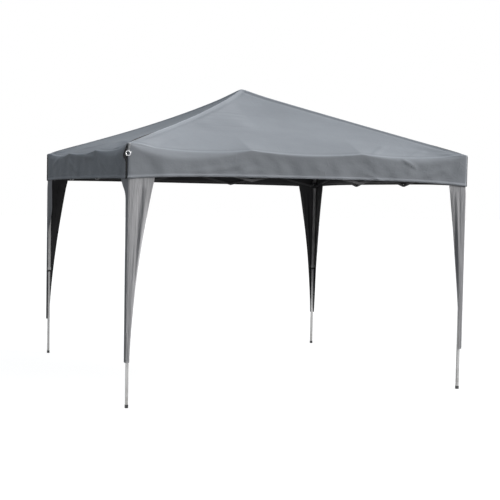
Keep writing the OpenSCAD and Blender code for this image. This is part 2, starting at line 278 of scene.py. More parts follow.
def canopy_cloth():
    """Coated polyester: weave, sewn ridges, hem, packing creases and soft wrinkles"""
    f = Finish("canopy_cloth")
    u, v, _ = f.split(f.place("UV"))
    reach = abs(u)
    drop = -v  # length down the valance
    ridge = HALF - reach - v * math.cos(SLOPE)  # distance from the hip's seam, on the roof
    on_roof = v.step(0.0, 0.004)
    on_side = 1.0 - on_roof
    # colour: uneven dye, painted highlights along the sewn hips and corners, the eave's edge and the hem, painted
    # shade in the join and on the fall beside each hip, and bright thread
    broad = f.noise(1.3, 3.0, 0.55)
    fine = f.noise(24.0, 3.0, 0.6)
    streak = f.noise(1.0, 2.0, 0.5, by=(3.0, 3.0, 26.0))
    # painted highlight: the sewn hips and the valance's corners are painted lighter; sewn also raises them in the bump
    seam = (1.0 - abs(ridge).step(0.011, 0.0125)) * on_roof
    edge = (1.0 - v.step(0.008, 0.020)) * on_roof  # painted highlight along the eave's edge
    # painted shade: the join is painted darker, for the shadow in its groove
    join = (1.0 - abs(v - EAVE_JOIN).step(0.003, 0.012)) * on_roof
    corner = (1.0 - (HALF - reach).step(0.012, 0.0135)) * on_side
    hem_run = f.wire(f.add("ShaderNodeAttribute", {"attribute_name": "hem"}), "Fac")
    # painted highlight: the hem is painted lighter along its fold
    hem = 1.0 - hem_run.step(0.0155, 0.0165)
    thread = stitches(abs(ridge), reach, 0.009) * on_roof + stitches(HALF - reach, drop, 0.010) * on_side \
        + stitches(hem_run, u, 0.0030) + stitches(hem_run, u, 0.0135) + stitches(v, u, EAVE_JOIN) * on_roof
    sewn = (seam + corner).low(1.0)
    hip_shade = (1.0 - abs(ridge - 0.040).step(0.010, 0.034)) * on_roof * u.step(0.0, 0.02)  # painted shade on the fall beside each hip, on one side of it
    tone = f.coats(bpy.context.scene.shelter_colours.canopy, 0.93, (broad.step(0.30, 0.72), 1.06), (fine * 0.22, 0.80),
                   (streak.step(0.5, 0.8) * 0.10 * on_side, 0.72), (sewn * 0.8, 1.22), (edge * 0.8, 1.18),
                   (join * 0.8, 0.84), (hem * 0.5, 1.18), (thread.low(1.0) * 0.55, 1.45), (hip_shade * 0.55, 0.70))
    soft = f.noise(5.0, 4.0, 0.5, by=(1.0, 1.0, 1.6))
    # fine level wrinkles high on the front slope, where the cloth pulls at the hub
    x, y, _ = f.split(f.place("Object"))
    pulled = (-y - abs(x)).step(0.0, 0.1) * u.step(-0.80, -0.60) * (1.0 - u.step(-0.35, -0.15)) * v.step(0.45, 0.65)
    fine_lines = f.noise(1.0, 2.0, 0.4, by=(1.4, 1.4, 34.0)) * pulled
    # creases from its bag: a faint grid that comes and goes, and crumples between
    grid_u = 1.0 - abs((u / 0.5 + 0.5).part() - 0.5).step(0.0, 0.012)
    grid_v = 1.0 - abs((v / 0.43 + 0.27).part() - 0.5).step(0.0, 0.012)
    crease = (grid_u + grid_v).low(1.0) * f.noise(2.1, 2.0, 0.5).step(0.5, 0.66)
    crumple = f.add("ShaderNodeTexVoronoi", {"feature": "DISTANCE_TO_EDGE"}, Vector=f.place("Object"), Scale=9.0)
    crumple = (1.0 - f.wire(crumple, "Distance").step(0.0, 0.10)) * f.noise(3.3, 2.0).step(0.52, 0.70)
    slack = f.noise(13.0, 4.0, 0.55, by=(1.0, 1.0, 1.3)) * on_side
    height = woven(u, v) * 0.03 + soft * (on_side * 2.4 + 2.2) + slack * 1.6 + crease * 0.55 + crumple * 0.5 \
        + sewn * 0.5 - thread * 0.30 + fine * 0.15 + fine_lines * 14.0
    f.set(Base_Color=tone, Roughness=0.60 + fine * 0.12, Normal=f.bump(height), Specular_IOR_Level=0.03)
    return f.material


def cover_cloth():
    """The covers' lighter cloth: weave, edge hems and long creases"""
    f = Finish("cover_cloth")
    u, v, _ = f.split(f.place("UV"))
    edge = f.wire(f.add("ShaderNodeAttribute", {"attribute_name": "hem"}), "Fac")
    broad = f.noise(1.0, 3.0, 0.5, by=(5.0, 5.0, 1.1))
    fine = f.noise(30.0, 3.0, 0.6)
    long_lines = f.noise(1.0, 2.0, 0.5, by=(34.0, 34.0, 1.2))
    dust = 1.0 - v.step(0.35, 0.75)  # near the ground
    hem = 1.0 - edge.step(0.010, 0.011)
    thread = stitches(edge, v, 0.0085)
    # the long creases are painted lighter along their crests and darker in their hollows: painted highlight and shade
    tone = f.coats(bpy.context.scene.shelter_colours.cover, 0.92, (broad.step(0.3, 0.7), 1.07), (fine * 0.2, 0.80),
                   (long_lines.step(0.52, 0.72) * 0.20, 1.28), ((1.0 - long_lines).step(0.55, 0.72) * 0.20, 0.80),
                   (dust * 0.18, 0.78), (hem * 0.35, 1.15), (thread * 0.5, 1.5))
    wrinkles = f.noise(1.0, 3.0, 0.5, by=(52.0, 52.0, 7.0))
    height = woven(u, v) * 0.03 + long_lines * 3.0 + wrinkles * 4.0 + f.noise(8.0, 3.0) * 2.0 \
        + hem * 0.5 - thread * 0.3
    f.set(Base_Color=tone, Roughness=0.62 + fine * 0.1, Normal=f.bump(height), Specular_IOR_Level=0.0)
    return f.material


def cloth_lining():
    """Near-black inner side of the cloth, a little shiny, with the weave showing through"""
    f = Finish("cloth_lining")
    u, v, _ = f.split(f.place("UV"))
    broad = f.noise(1.6, 3.0, 0.55)
    fine = f.noise(26.0, 3.0, 0.6)
    rub = f.noise(5.0, 4.0, 0.6).step(0.58, 0.74)
    tone = f.coats(bpy.context.scene.shelter_colours.lining, 0.85, (broad.step(0.3, 0.7), 1.2), (rub * 0.35, 1.9))
    height = woven(u, v) * 0.03 + broad * 2.0 + fine * 0.2
    f.set(Base_Color=tone, Roughness=0.50 + fine * 0.15, Normal=f.bump(height), Specular_IOR_Level=0.3)
    return f.material


def coated(f, base, ground=None):
    """Colour, roughness and height of a thin coat over drawn steel, dusty near the ground if the height is given"""
    drawn = f.noise(1.0, 2.0, 0.5, by=(180.0, 180.0, 2.0))
    peel = f.noise(420.0, 2.0, 0.5)
    blotch = f.noise(6.0, 3.0, 0.6)
    scratch = f.noise(1.0, 1.0, 0.4, by=(260.0, 260.0, 9.0)).step(0.66, 0.72)
    tone = f.coats(base, 0.90, (blotch.step(0.3, 0.7), 1.08), (drawn.step(0.45, 0.8) * 0.25, 0.75),
                   (scratch * 0.5, 1.45))
    if ground is not None:
        low = (1.0 - ground.step(0.02, 0.22)) * f.noise(30.0, 3.0).step(0.35, 0.65)
        tone = f.mix(low * 0.45, tone, (0.21, 0.19, 0.165))
    rough = 0.30 + blotch * 0.14 + scratch * 0.15
    height = peel * 0.02 + drawn * 0.03 - scratch * 0.04
    return tone, rough, height


def leg_steel(name, dark_bands):
    """Silver tube; the bracket, collar or cap on it, between the heights of each band, is dark plastic"""
    colours = bpy.context.scene.shelter_colours
    f = Finish(name)
    _, _, z = f.split(f.place("Object"))
    tone, rough, height = coated(f, colours.steel, z)
    edge = 0.0004
    masks = [z.step(low - edge, low) * (1.0 - z.step(high, high + edge)) for low, high in dark_bands]
    dark = sum(masks[1:], masks[0]).low(1.0)
    grain = f.noise(900.0, 2.0, 0.6)
    dull = f.coats(colours.plastic, 0.8, (f.noise(14.0, 3.0).step(0.3, 0.7), 1.35))
    tone = f.mix(dark, tone, dull)
    rough = rough * (1.0 - dark) + dark * (0.42 + grain * 0.15)
    height = height * (1.0 - dark) + grain * 0.05 * dark
    f.set(Base_Color=tone, Roughness=rough, Metallic=(1.0 - dark) * 0.35, Normal=f.bump(height), Coat_Weight=0.15,
          Coat_Roughness=0.25)
    return f.material


def bar_steel():
    """Coated bars with drawn lines along them; their near-black colour is painted shade, for the shade under the roof
    """
    f = Finish("bar_steel")
    tone, rough, height = coated(f, bpy.context.scene.shelter_colours.bars)
    f.set(Base_Color=tone, Roughness=rough + 0.15, Metallic=0.15, Normal=f.bump(height),
          Coat_Weight=0.05, Coat_Roughness=0.3)
    return f.material


def moulded(name, base, rub):
    """Moulded plastic with a fine grain, lighter where hands and bars rub it"""
    f = Finish(name)
    grain = f.noise(1100.0, 2.0, 0.6)
    cell = f.wire(f.add("ShaderNodeTexVoronoi", Vector=f.place("Object"), Scale=700.0), "Distance")
    patch = f.noise(18.0, 3.0, 0.6)
    edge = f.wire(f.add("ShaderNodeNewGeometry"), "Pointiness").step(0.50, 0.56)
    tone = f.coats(base, 0.8, (patch.step(0.3, 0.7), 1.3))
    tone = f.mix(edge * 0.5 * rub, tone, (0.12, 0.12, 0.125))
    f.set(Base_Color=tone, Roughness=0.40 + patch * 0.12 + grain * 0.08,
          Normal=f.bump(grain * 0.05 + cell * 0.05), Specular_IOR_Level=0.5)
    return f.material


def bright_ring():
    """Nickel-plated wire with fine scratches"""
    f = Finish("bright_ring")
    fine = f.noise(700.0, 2.0)
    spots = f.noise(90.0, 3.0).step(0.62, 0.72)
    tone = f.coats(bpy.context.scene.shelter_colours.ring, 1.0, (spots * 0.5, 0.55))
    f.set(Base_Color=tone, Metallic=1.0, Roughness=0.18 + spots * 0.25 + fine * 0.05, Normal=f.bump(fine * 0.02))
    return f.material


def webbing(name, base):
    """Narrow woven tape with ribs across it and a stitched edge"""
    f = Finish(name)
    u, v, _ = f.split(f.place("UV"))
    rib = (v * (2 * math.pi / 0.0028)).sine()
    cord = (u * (2 * math.pi / 0.0019)).sine()
    patch = f.noise(60.0, 3.0)
    tone = f.mix(rib.step(-0.8, 0.4) * 0.35, shade(base, 0.6), f.coats(base, 0.75, (patch, 1.25)))
    f.set(Base_Color=tone, Roughness=0.75 + patch * 0.1, Normal=f.bump(rib * 0.18 + cord * 0.12),
          Specular_IOR_Level=0.1)
    return f.material


# ---------------------------------------------------------------- cloth shapes

SIDES = {  # each side's cloth: droop of its three bays, length of the slanted facet under the eave in each bay,
    # lift of the hem at mid side, its skew, and a phase for the soft folds
    "front": dict(bays=(0.046, 0.026, 0.034), facets=(0.060, 0.010, 0.034), lift=0.033, skew=0.05, phase=0.0),
    "right": dict(bays=(0.030, 0.022, 0.036), facets=(0.020, 0.012, 0.040), lift=0.020, skew=-0.10, phase=1.7),
    "back": dict(bays=(0.034, 0.024, 0.028), facets=(0.030, 0.010, 0.022), lift=0.008, skew=0.15, phase=3.1),
    "left": dict(bays=(0.028, 0.020, 0.036), facets=(0.034, 0.012, 0.050), lift=0.010, skew=-0.20, phase=4.6),
}
JOINT_U = 0.49  # where the frame's top joints hold the eave
JOINT_DROP = 0.020  # how far the eave hangs there
FACET_LEAST = 0.004  # shorter facets than this aren't made
SLOPE = math.atan2(PEAK_Z - EAVE_Z, HALF)  # of the roof
FACET = math.radians(64)  # how steeply the facet under the eave falls
HIP_SAG = {"front_left": 0.034, "front_right": 0.003, "back_right": 0.020, "back_left": 0.044}

# creases: side, start (u, down), end (u, down), height, width; down is negative on the roof
# u runs to the right along a side as seen from outside, from its middle
CREASES = [
    ("front", 0.87, 0.015, 0.99, 0.075, 0.007, 0.011), ("front", 0.51, 0.145, 0.68, 0.205, 0.005, 0.011),
    ("front", 1.05, 0.16, 1.30, 0.11, 0.004, 0.020),
    ("front", -0.95, 0.16, -0.60, 0.11, 0.004, 0.018), ("front", -0.70, 0.20, -0.45, 0.15, 0.004, 0.018),
    ("front", 0.62, -0.05, 0.80, -0.22, 0.005, 0.022), ("front", 0.95, -0.04, 1.15, -0.14, 0.004, 0.022),
    ("left", 0.12, 0.03, 0.42, 0.05, 0.010, 0.020), ("left", 0.60, 0.05, 0.90, 0.15, 0.006, 0.020),
    ("left", -0.45, 0.08, -0.10, 0.17, 0.006, 0.022), ("left", -1.20, 0.10, -0.95, 0.03, 0.006, 0.020),
    ("left", 1.15, 0.06, 1.30, 0.18, 0.006, 0.020), ("left", 0.30, -0.30, 0.80, -0.20, 0.006, 0.030),
    ("left", 0.90, -0.05, 1.25, -0.14, 0.008, 0.024), ("left", -0.60, -0.12, -0.10, -0.30, 0.006, 0.030),
    ("right", -0.90, 0.05, -0.70, 0.15, 0.006, 0.018), ("right", 0.20, 0.06, 0.45, 0.16, 0.006, 0.018),
    ("right", 0.90, 0.15, 1.15, 0.07, 0.005, 0.018),
    ("back", -1.00, 0.05, -0.75, 0.14, 0.006, 0.018), ("back", 0.55, 0.06, 0.80, 0.15, 0.006, 0.018),
    ("back", 0.10, 0.15, 0.35, 0.10, 0.004, 0.018),
]


def ease(t):
    """0 at 0, 1 at 1, smooth between them and level beyond"""
    t = max(0.0, min(1.0, t))
    return t * t * (3 - 2 * t)


def bay(u, side):
    """Droop of the eave between its supports, how far into a bay this is, and the facet's length there"""
    facts = SIDES[side]
    edges = (-HALF, -JOINT_U, JOINT_U, HALF)
    i = 0 if u <= edges[1] else 1 if u <= edges[2] else 2
    t = max(0.0, min(1.0, (u - edges[i]) / (edges[i + 1] - edges[i])))
    arch = 4 * t * (1 - t)
    ends = (0.0 if i == 0 else JOINT_DROP, 0.0 if i == 2 else JOINT_DROP)
    lean = t if i == 2 else 1 - t if i == 0 else 0.5  # the facet is longest towards the corner
    facet = facts["facets"][i] * arch * (0.45 + 1.1 * lean) * ease(arch / 0.3)
    return ends[0] + (ends[1] - ends[0]) * t + facts["bays"][i] * arch, arch, facet


def side_of(x, y):
    """Side name, place along the side as seen from outside, and distance in from it"""
    if abs(y) >= abs(x):
        return ("front", x, HALF + y) if y < 0 else ("back", -x, HALF - y)
    return ("right", y, HALF - x) if x > 0 else ("left", -y, HALF + x)


OUT = {"front": (0, -1), "right": (1, 0), "back": (0, 1), "left": (-1, 0)}
RUN = {"front": (1, 0), "right": (0, 1), "back": (-1, 0), "left": (0, -1)}
HIPS = {"front": ("front_left", "front_right"), "right": ("front_right", "back_right"),
        "back": ("back_right", "back_left"), "left": ("back_left", "front_left")}


def creases(side, u, down):
    """Height of the creases at a place; each fades past its ends"""
    total = 0.0
    for name, u1, d1, u2, d2, high, wide in CREASES:
        if name != side:
            continue
        du, dd = u2 - u1, d2 - d1
        length = math.hypot(du, dd)
        t = ((u - u1) * du + (down - d1) * dd) / (length * length)
        if -0.3 < t < 1.3:
            off = ((u - u1) * dd - (down - d1) * du) / length
            if abs(off) < 4 * wide:
                total += high * ease((t + 0.3) / 0.5) * ease((1.3 - t) / 0.5) * math.exp(-(off / wide) ** 2)
    return total


def bend(s, reach, first, last):
    """Place and normal on a line that turns from one fall to another over reach each way, from its corner"""
    if s <= -reach or s >= reach:
        fall = first if s < 0 else last
        return s * math.cos(fall), -s * math.sin(fall), math.sin(fall), math.cos(fall)
    radius = reach / math.tan((last - first) / 2)
    fall = first + (s / reach + 1) / 2 * (last - first)
    x = -reach * math.cos(first) - radius * math.sin(first) + radius * math.sin(fall)
    z = reach * math.sin(first) - radius * math.cos(first) + radius * math.cos(fall)
    return x, z, math.sin(fall), math.cos(fall)


def hip_sag(side, u, wide):
    """How far the roof hangs with its two hips"""
    first, last = HIPS[side]
    way = ease((u / wide + 1) / 2)
    return HIP_SAG[first] * (1 - way) + HIP_SAG[last] * way


def roof_folds(u, inward, wide, p, sizes):
    """Height of the soft folds, seams and joins on a roof panel, inward from the eave"""
    near_hip = (wide - abs(u)) * 0.707
    off_end = HALF - abs(u)
    reach, fan = math.hypot(off_end, inward), math.atan2(inward, off_end)
    # fans of folds from the corners, then broad waves
    fade = ease(reach / 0.12) * math.exp(-reach / 0.55) * ease((math.pi / 4 - fan) / 0.12) * ease(inward / 0.05)
    push = sizes.folds * 0.8 * fade * math.sin(fan * 26 + p + (1 if u > 0 else 0))
    push += sizes.folds * 0.8 * ease(inward / 0.08) * ease((wide - abs(u)) / 0.2) \
        * math.sin(u * 5.1 + p) * math.sin(inward * 7.3 + 2 * p)
    # the sewn hip stands proud of a shallow groove, and so does the eave's edge
    push += 0.0028 * math.exp(-(near_hip / 0.009) ** 2) * ease(inward / 0.03)
    push -= 0.0045 * math.exp(-((near_hip - 0.035) / 0.018) ** 2) * ease(inward / 0.15)
    push += 0.0016 * math.exp(-((inward - 0.006) / 0.008) ** 2)
    push -= 0.0022 * math.exp(-((inward - EAVE_JOIN) / 0.010) ** 2)
    return push


def valance_folds(u, ell, down, p, sizes):
    """Height of the slack waves of the valance"""
    sway = ease(down / 0.09) * ease((HALF - abs(u)) / 0.12)
    waves = math.sin(u * 9.7 + p) + 0.7 * math.sin(u * 21.3 + 2.3 * p + ell * 9) \
        + 0.4 * math.sin(u * 37.0 - ell * 22 + p)
    return sizes.folds * sway * waves - 0.003 * ease(ell / 0.2) * ease((HALF - abs(u)) / 0.2)


def cloth_point(side, u, ell, sizes):
    """How far out and up from the eave a point of the cloth is: u along the side, ell the length from the eave,
    which is negative up the roof"""
    droop, arch, facet = bay(u, side)
    p = SIDES[side]["phase"]
    inset = facet * math.cos(FACET)
    reach = 0.006 + 0.010 * arch
    inward = 0.0
    if ell < facet / 2:  # the roof and its bend at the eave
        out, z, nx, nz = bend(ell, reach, SLOPE, FACET if facet > FACET_LEAST else math.pi / 2)
        inward = max(0.0, -ell * math.cos(SLOPE))
        fade = math.exp(-(inward / 0.22) ** 2)
        out -= inset * fade
        z += inset * fade * math.tan(SLOPE)
    else:  # the bend under the facet, then the valance
        out, z, nx, nz = bend(ell - facet, min(reach, facet / 2) + 0.002, FACET if facet > FACET_LEAST else SLOPE,
                              math.pi / 2)
        z += inset * math.tan(SLOPE) - facet * math.sin(FACET)
    if inward > 0:
        # the droop fades up the roof, the hips hang, and the panel hangs a little between them
        wide = max(HALF - inward, 0.02)
        z -= droop * math.exp(-(inward / 0.20) ** 1.5) * ease((wide - abs(u)) * 0.707 / 0.16)
        rise = inward / HALF
        z -= hip_sag(side, u, wide) * 5.4 * rise ** 1.5 * (1 - rise)
        z -= sizes.roof_sag * (1 - min(1.0, abs(u) / wide) ** 2) ** 1.1 * 4 * rise * (1 - rise)
        push = roof_folds(u, inward, wide, p, sizes)
    else:
        z -= droop
        push = valance_folds(u, ell, max(0.0, ell - facet), p, sizes)
    push += creases(side, u, ell) * ease((HALF - abs(u)) / 0.05)
    return out + push * nx, z + push * nz


def on_side(side, u, out, z, eave_z):
    """The place of a point of a side in the shelter's frame"""
    ox, oy = OUT[side]
    rx, ry = RUN[side]
    return Vector((rx * u + ox * (HALF + out), ry * u + oy * (HALF + out), eave_z + z))


def roof_point(x, y, sizes):
    """A point of the roof over a place on the ground"""
    side, u, inward = side_of(x, y)
    out, z = cloth_point(side, u, -inward / math.cos(SLOPE), sizes)
    peak = math.hypot(x, y)
    z += 0.010 * math.exp(-(peak / 0.16) ** 2)  # the tip is drawn up over the hub's cap
    return on_side(side, u, out, z, sizes.eave_z)


def hem_drop(side, u, sizes):
    """Length of cloth from the eave to the hem"""
    facts = SIDES[side]
    droop, _, facet = bay(u, side)
    lift = facts["lift"] * (1 - (u / HALF) ** 4) * (1 + facts["skew"] * u / HALF)
    fall = facet * (math.sin(FACET) - math.cos(FACET) * math.tan(SLOPE))
    return facet + sizes.eave_z - HEM_Z - droop - lift - fall


def turn_angles(sizes):
    """Angles round a corner of the roof, closest along the eaves and along the hip"""
    angles = []
    for k in range(sizes.turns + 1):
        crowd = 0.65 * math.sin(4 * math.pi * k / sizes.turns) / (4 * math.pi)
        angles.append(math.pi / 2 * (k / sizes.turns - crowd))
    return angles


def gore_of(k, sizes):
    """Which gore a step round the corner belongs to"""
    angles = turn_angles(sizes)
    return int((angles[k] + angles[k + 1]) / math.pi * sizes.gores)


def cap_steps(sizes):
    """Steps from a corner to the edge of its cap, the piece that stays over the leg"""
    return round(sizes.cap / HALF * sizes.steps)


def cap_width(sizes):
    """Width of a cap along the eave"""
    return HALF * cap_steps(sizes) / sizes.steps


VALANCE_ROWS = (0.0, 0.02, 0.05, 0.09, 0.14, 0.20, 0.27, 0.35, 0.44, 0.54, 0.64, 0.74, 0.84, 0.93, 1.0)
CORNER_ROUND = 0.010  # how far from its corner the valance starts to turn round it


def side_way(side, corner):
    """Which end of a side a corner is at: 1 for the right end as seen from outside, -1 for the left"""
    sx, sy = CORNERS[corner]
    return RUN[side][0] * sx + RUN[side][1] * sy


def corner_roof(corner, vertex, sizes):
    """Faces of a quarter of the roof, in rings that spread from its corner"""
    sx, sy = CORNERS[corner]
    angles = turn_angles(sizes)
    rings, faces = [], []
    for i in range(sizes.steps + 1):
        ring = []
        for j, a in enumerate(angles):
            r = HALF / max(math.cos(a), math.sin(a)) * i / sizes.steps
            x, y = r * math.cos(a), r * math.sin(a)
            if 2 * j == sizes.turns:  # exactly on the hip
                x = y = HALF * i / sizes.steps
            cx, cy = sx * (HALF - x), sy * (HALF - y)
            ring.append((vertex(roof_point(cx, cy, sizes), 1.0, sizes.thickness), cx, cy))
        rings.append(ring)
    for i in range(sizes.steps):
        for j in range(sizes.turns):
            quad = [rings[i][j], rings[i + 1][j], rings[i + 1][j + 1], rings[i][j + 1]]
            # UVs belong to the side that the face is on
            side = side_of(sum(q[1] for q in quad) / 4, sum(q[2] for q in quad) / 4)[0]
            (ox, oy), (rx, ry) = OUT[side], RUN[side]
            loop = [(index, (cx * rx + cy * ry, (HALF - (cx * ox + cy * oy)) / math.cos(SLOPE)))
                    for index, cx, cy in quad]
            part = "cap" if i < cap_steps(sizes) else f"gore_{gore_of(j, sizes) + 1}"
            faces.append((loop if sx * sy > 0 else loop[::-1], f"{corner}_{part}"))
    return faces


def corner_valance(corner, side, vertex, sizes):
    """Faces of the half of a side's valance that hangs next to a corner, with its folded hem"""
    way = side_way(side, corner)
    t = sizes.thickness
    columns, faces = [], []
    for i in range(sizes.steps + 1):
        u = way * (HALF - HALF * i / sizes.steps)
        length = hem_drop(side, u, sizes)
        body = length - sizes.hem - 0.0006
        rows = [(body * k, 0.0) for k in VALANCE_ROWS]  # length from the eave, step outward
        rows += [(length - sizes.hem, t), (length - 0.012, t), (length - 0.0008, t * 0.9), (length, 0.0)]
        turned = max(0.0, 1 - (HALF - abs(u)) / CORNER_ROUND)
        inset = CORNER_ROUND * (1 - math.sqrt(max(0.0, 1 - turned ** 2))) * 0.3
        column = []
        for s, step in rows:
            out, z = cloth_point(side, u, s, sizes)
            back = inset * ease(s / 0.02)
            co = on_side(side, u - way * back, out + step - back, z, sizes.eave_z)
            depth = t + 2 * step if s < length else t
            column.append((vertex(co, max(0.0, length - s), depth), (u, -s)))
        columns.append(column)
    for i in range(sizes.steps):
        part = "cap" if i < cap_steps(sizes) else f"valance_{side}"
        for k in range(len(columns[0]) - 1):
            loop = [columns[i][k], columns[i][k + 1], columns[i + 1][k + 1], columns[i + 1][k]]
            faces.append((loop if way < 0 else loop[::-1], f"{corner}_{part}"))
    return faces


def canopy_surface(sizes):
    """The whole cloth as one sheet: points with their distance from the hem and depth, faces with their part"""
    points, keys, faces = [], {}, []

    def vertex(co, hem, depth):
        key = tuple(round(c, 5) for c in co)
        if key not in keys:
            keys[key] = len(points)
            points.append((co, hem, depth))
        return keys[key]

    for corner in CORNERS:
        faces += corner_roof(corner, vertex, sizes)
        for side, hips in HIPS.items():
            if corner in hips:
                faces += corner_valance(corner, side, vertex, sizes)
    return points, faces


def placed(name, mesh):
    """An object with this mesh, in the scene"""
    obj = bpy.data.objects.new(name, mesh)
    bpy.context.scene.collection.objects.link(obj)
    return obj


def smooth_normals(verts, faces):
    """The normal at each point of a sheet, and its area"""
    whole = bpy.data.meshes.new("whole")
    whole.from_pydata(verts, [], faces)
    whole.update()
    normals = [Vector(n.vector) for n in whole.vertex_normals]
    area = sum(poly.area for poly in whole.polygons)
    bpy.data.meshes.remove(whole)
    return normals, area


def shell(name, verts, normals, depths, loops, finishes):
    """A cloth with two sides: loops of (vertex, uv), the inner side set back by each vertex's depth"""
    count = len(verts)
    inner = [v - n * d for v, n, d in zip(verts, normals, depths)]
    used = {}
    for loop in loops:
        for k, (i, _) in enumerate(loop):
            j = loop[(k + 1) % len(loop)][0]
            used[(i, j)] = (loop[k][1], loop[(k + 1) % len(loop)][1])
    rims = [(i, j, uvs) for (i, j), uvs in used.items() if (j, i) not in used]
    faces = [[i for i, _ in loop] for loop in loops]
    faces += [[i + count for i, _ in reversed(loop)] for loop in loops]
    faces += [[j, i, i + count, j + count] for i, j, _ in rims]
    places = [uv for loop in loops for _, uv in loop]
    places += [uv for loop in loops for _, uv in reversed(loop)]
    for i, j, (a, b) in rims:
        places += [b, a, a, b]
    mesh = bpy.data.meshes.new(name)
    mesh.from_pydata(list(verts) + inner, [], faces)
    layer = mesh.uv_layers.new(name="cloth")
    for spot, uv in enumerate(places):
        layer.data[spot].uv = uv
    mesh.shade_smooth()
    mesh.normals_split_custom_set_from_vertices([*normals, *(-n for n in normals)])
    for finish in finishes:
        mesh.materials.append(finish)
    for poly in mesh.polygons[len(loops):2 * len(loops)]:
        poly.material_index = 1  # the inner side is lining
    return placed(name, mesh)


def write_hem(obj, hems):
    """Note each point's distance from a hem on both sides of a cloth, for its finish"""
    hem = obj.data.attributes.new("hem", "FLOAT", "POINT")
    for i, value in enumerate([*hems, *hems]):
        hem.data[i].value = value


def cut_cloth(points, faces, name, finishes):
    """One object for each part of a surface, with the normals of the whole, so that no joint shows"""
    clean = []
    for loop, part in faces:
        kept = list(dict(loop).items())  # a face at a corner names a point twice
        if len(kept) > 2:
            clean.append((kept, part))
    normals, _ = smooth_normals([p[0] for p in points], [[i for i, _ in loop] for loop, _ in clean])
    parts = {}
    for loop, part in clean:
        parts.setdefault(part, []).append(loop)
    made = {}
    for part, loops in parts.items():
        order = list(dict.fromkeys(i for loop in loops for i, _ in loop))
        index = {i: k for k, i in enumerate(order)}
        made[part] = shell(f"{name}_{part}", [points[i][0] for i in order], [normals[i] for i in order],
                           [points[i][2] for i in order], [[(index[i], uv) for i, uv in loop] for loop in loops],
                           finishes)
        write_hem(made[part], [points[i][1] for i in order])
    return made


def object_from(name, verts, faces, finish, uvs=None, smooth=True):
    """An object of one finish from points and faces"""
    mesh = bpy.data.meshes.new(name)
    mesh.from_pydata(verts, [], faces)
    mesh.update()
    if uvs:
        layer = mesh.uv_layers.new(name="cloth")
        for loop in mesh.loops:
            layer.data[loop.index].uv = uvs[loop.vertex_index]
    if smooth:
        mesh.shade_smooth()
    mesh.materials.append(finish)
    return placed(name, mesh)


def material(name):
    """A finish by its name"""
    found = bpy.data.materials.get(name)
    if found is None or not found.get("finished"):
        raise RuntimeError(f"{name} isn't made yet: run the finishes first")
    return found


def leg_body(corner):
    """The upper tube that carries a corner's cloth"""
    return f"leg_outer_{corner}"


# ---------------------------------------------------------------- operators

class SHELTER_OT_camera(bpy.types.Operator):
    """Put the camera in front of the shelter's left corner"""
    bl_idname = "shelter.camera"
    bl_label = "Camera"

    def execute(self, context):
        view = context.scene.shelter_view
        forward = Vector((math.sin(view.turn), math.cos(view.turn), 0.0))
        ahead = math.cos(view.down) * forward - math.sin(view.down) * Vector((0, 0, 1))
        level = Vector((math.cos(view.turn), -math.sin(view.turn), 0.0))
        above = level.cross(ahead)
        right = math.cos(view.roll) * level + math.sin(view.roll) * above
        up = math.cos(view.roll) * above - math.sin(view.roll) * level
        data = bpy.data.cameras.new("camera")
        data.lens, data.sensor_width, data.clip_end = view.lens, 36.0, 200.0
        camera = placed("camera", data)
        camera.matrix_world = Matrix.Translation(view.place) @ Matrix((right, up, -ahead)).transposed().to_4x4()
        context.scene.camera = camera
        return {"FINISHED"}


class SHELTER_OT_finishes(bpy.types.Operator):
    """Make the finishes and put them on the frame's pieces"""
    bl_idname = "shelter.finishes"
    bl_label = "Finishes"

    def execute(self, context):
        colours = context.scene.shelter_colours
        top, base = LEG_BOX[1].z, LEG_BOX[0].z
        for old in list(bpy.data.materials):  # the frame's own keep their names for the lookup
            old.name = "packed_" + old.name
        made = {
            "canopy_cloth": canopy_cloth(), "cover_cloth": cover_cloth(), "cloth_lining": cloth_lining(),
            "leg_tube": leg_steel("leg_tube", ((top - 0.068, top + 0.01), (base - 0.01, base + 0.018))),
            "inner_tube": leg_steel("inner_tube", ((-0.01, 0.026),)),
            "bar_steel": bar_steel(), "dark_plastic": moulded("dark_plastic", colours.plastic, 1.0),
            "black_plastic": moulded("black_plastic", shade(colours.plastic, 0.6), 0.6),
            "bright_ring": bright_ring(), "strap_web": webbing("strap_web", (0.50, 0.51, 0.53)),
            "dark_web": webbing("dark_web", (0.020, 0.020, 0.022)),
        }
        for item in made.values():
            item["finished"] = True
        for name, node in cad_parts.items():
            for place in node.material_slots:
                kind = place.material.name.replace("packed_", "").split(".")[0]
                if name.startswith("leg_inner"):
                    kind = "inner_tube"
                if kind not in made:
                    raise RuntimeError(f"{name} has no finish for {kind}")
                place.material = made[kind]
        return {"FINISHED"}


GORE_RISE = 0.54  # how steeply the axis of a gore on the hip rises
TUCK = 0.08  # how much the axis of cloth beside the eave leans in
